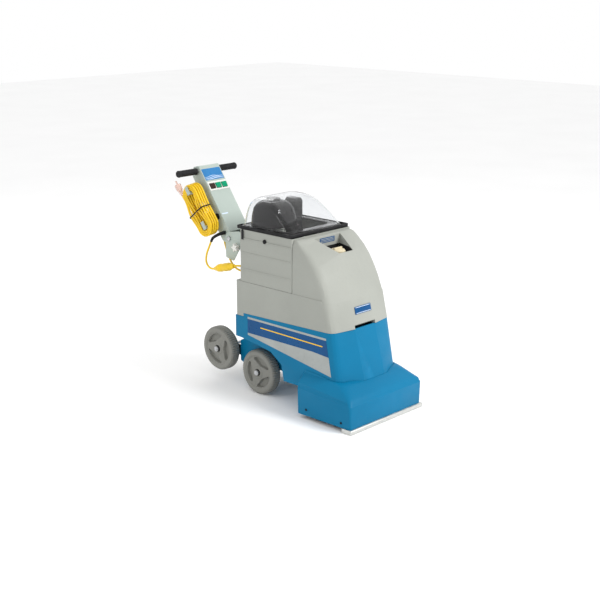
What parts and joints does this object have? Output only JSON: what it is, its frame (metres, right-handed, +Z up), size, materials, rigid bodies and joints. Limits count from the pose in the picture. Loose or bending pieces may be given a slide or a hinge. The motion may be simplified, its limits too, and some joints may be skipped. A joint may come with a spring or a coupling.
{
  "type": "carpet cleaner machine",
  "caption": "Walk-behind self-contained carpet extractor with brush hood, vacuum shoe, solution and recovery tanks, domed lid and a leaning control console with cord.",
  "frame": {"origin": "on the floor under the middle of the machine, cord left out", "axes": "+Z up, -Y towards the vacuum shoe at the front, +Y towards the handle, X across the machine"},
  "size_m": [0.467, 1.1964, 0.9619],
  "materials": {
    "blue_shell": "rotomoulded blue polyethylene, lightly pebbled",
    "grey_shell": "rotomoulded light grey polyethylene, lightly pebbled",
    "black_rim": "black moulded edge",
    "clear_dome": "clear thermoformed plastic",
    "smoked": "smoked thermoformed plastic",
    "zinc_steel": "zinc-plated",
    "shoe_alloy": "cast, satin",
    "sheet_paint": "pale grey-green powder coat",
    "wheel_grey": "grey moulded wheel",
    "black_rubber": "ribbed",
    "cord_yellow": "yellow vinyl jacket",
    "plug_clear": "pale translucent moulding with metal blades",
    "nameplate_blue": "plain printed plate",
    "plate_white": "moulded",
    "rocker_brown": "moulded rocker",
    "rocker_green": "moulded rocker",
    "cap_beige": "moulded cap",
    "motor_alloy": "die cast",
    "motor_black": "moulded motor and pump casing",
    "brush_fill": "nylon tufts on a core",
    "float_white": "hollow float"
  },
  "bodies": {
    "root": {"base_shell": "blue_shell", "brush_hood": "blue_shell", "vacuum_shoe": "shoe_alloy", "front_axle_block_left": "zinc_steel", "front_axle_block_right": "zinc_steel", "rear_axle_bracket_left": "zinc_steel", "rear_axle_bracket_right": "zinc_steel", "brush_bearing_left": "black_rim", "brush_bearing_right": "black_rim", "front_axle": "zinc_steel", "rear_axle": "zinc_steel", "drive_belt": "black_rubber", "brush_motor": "motor_black", "vacuum_motor": "motor_alloy", "solution_pump": "motor_black", "spray_bar": "zinc_steel", "vacuum_hose": "black_rubber", "handle_frame": "sheet_paint", "pivot_bolt": "zinc_steel"},
    "solution_tank": {"solution_tank": "grey_shell", "nameplate": "nameplate_blue"},
    "fill_cap": {"fill_cap": "cap_beige"},
    "recovery_tank": {"recovery_tank": "grey_shell", "standpipe": "grey_shell", "float_cage": "float_white", "inlet_duct": "grey_shell"},
    "float_ball": {"float_ball": "float_white"},
    "lid": {"lid_frame": "black_rim", "lid_plate": "smoked", "dome": "clear_dome", "separator_bowl": "smoked"},
    "latch_left": {"latch_strap_left": "black_rubber"},
    "latch_right": {"latch_strap_right": "black_rubber"},
    "wheel_front_left": {"wheel_front_left": "wheel_grey"},
    "wheel_front_right": {"wheel_front_right": "wheel_grey"},
    "wheel_rear_left": {"wheel_rear_left": "wheel_grey"},
    "wheel_rear_right": {"wheel_rear_right": "wheel_grey"},
    "brush": {"brush_roller": "brush_fill", "brush_pulley": "black_rim"},
    "motor_pulley": {"motor_pulley": "zinc_steel"},
    "console": {"console_shell": "sheet_paint", "console_rear_cover": "sheet_paint", "switch_plate": "plate_white", "handle_bar": "zinc_steel", "grip_left": "black_rubber", "grip_right": "black_rubber", "cord_hook_upper": "zinc_steel", "cord_hook_lower": "zinc_steel", "side_socket": "black_rim", "strain_relief": "black_rubber", "pigtail_cord": "cord_yellow", "cord_connector": "cord_yellow", "mains_lead": "cord_yellow", "cord_hank": "cord_yellow", "mains_plug": "plug_clear"},
    "rocker_power": {"rocker_power": "rocker_brown"},
    "rocker_vacuum": {"rocker_vacuum": "rocker_green"},
    "rocker_pump": {"rocker_pump": "rocker_green"},
    "reset_button": {"reset_button": "black_rim"},
    "star_knob": {"star_knob": "plate_white"}
  },
  "joints": [
    {"name": "solution_tank_lift", "type": "slide", "parent": "root", "child": "solution_tank", "axis": [0, 0, 1], "range_m": [0, 0.3]},
    {"name": "fill_cap_lift", "type": "slide", "parent": "solution_tank", "child": "fill_cap", "axis": [0, 0, 1], "range_m": [0, 0.09]},
    {"name": "recovery_tank_lift", "type": "slide", "parent": "solution_tank", "child": "recovery_tank", "axis": [0, 0, 1], "range_m": [0, 0.3]},
    {"name": "lid_lift", "type": "slide", "parent": "recovery_tank", "child": "lid", "axis": [0, 0, 1], "range_m": [0, 0.2]},
    {"name": "float_rise", "type": "slide", "parent": "recovery_tank", "child": "float_ball", "axis": [0, 0, 1], "range_m": [0, 0.042]},
    {"name": "latch_left_swing", "type": "hinge", "parent": "lid", "child": "latch_left", "pos_m": [-0.1864, 0.1085, 0.746], "axis": [0, 1, 0], "range_deg": [0, 110]},
    {"name": "latch_right_swing", "type": "hinge", "parent": "lid", "child": "latch_right", "pos_m": [0.1864, 0.1085, 0.746], "axis": [0, -1, 0], "range_deg": [0, 110]},
    {"name": "wheel_front_left_spin", "type": "hinge", "parent": "root", "child": "wheel_front_left", "pos_m": [-0.125, 0.061, 0.1016], "axis": [1, 0, 0], "continuous": true},
    {"name": "wheel_front_right_spin", "type": "hinge", "parent": "root", "child": "wheel_front_right", "pos_m": [0.125, 0.061, 0.1016], "axis": [1, 0, 0], "continuous": true},
    {"name": "wheel_rear_left_spin", "type": "hinge", "parent": "root", "child": "wheel_rear_left", "pos_m": [-0.125, 0.322, 0.155], "axis": [1, 0, 0], "continuous": true},
    {"name": "wheel_rear_right_spin", "type": "hinge", "parent": "root", "child": "wheel_rear_right", "pos_m": [0.125, 0.322, 0.155], "axis": [1, 0, 0], "continuous": true},
    {"name": "brush_spin", "type": "hinge", "parent": "root", "child": "brush", "pos_m": [-0.03, -0.417, 0.052], "axis": [1, 0, 0], "continuous": true},
    {"name": "motor_pulley_spin", "type": "hinge", "parent": "root", "child": "motor_pulley", "pos_m": [0.166, -0.319, 0.232], "axis": [1, 0, 0], "continuous": true},
    {"name": "console_tilt", "type": "hinge", "parent": "root", "child": "console", "pos_m": [0, 0.323, 0.657], "axis": [1, 0, 0], "range_deg": [-20, 36]},
    {"name": "rocker_power_rock", "type": "hinge", "parent": "console", "child": "rocker_power", "pos_m": [-0.036, 0.46445, 0.87313], "axis": [1, 0, 0], "range_deg": [-14, 0]},
    {"name": "rocker_vacuum_rock", "type": "hinge", "parent": "console", "child": "rocker_vacuum", "pos_m": [0, 0.46445, 0.87313], "axis": [1, 0, 0], "range_deg": [-14, 0]},
    {"name": "rocker_pump_rock", "type": "hinge", "parent": "console", "child": "rocker_pump", "pos_m": [0.036, 0.46445, 0.87313], "axis": [1, 0, 0], "range_deg": [-14, 0]},
    {"name": "reset_button_press", "type": "slide", "parent": "console", "child": "reset_button", "axis": [1, 0, 0], "range_m": [0, 0.003], "stiffness_N_per_m": 300},
    {"name": "star_knob_turn", "type": "hinge", "parent": "root", "child": "star_knob", "pos_m": [-0.075, 0.265, 0.626], "axis": [1, 0, 0], "range_deg": [0, 270]}
  ],
  "couplings": [
    {"joint": "motor_pulley_spin", "follows": "brush_spin", "ratio": 1.6}
  ]
}
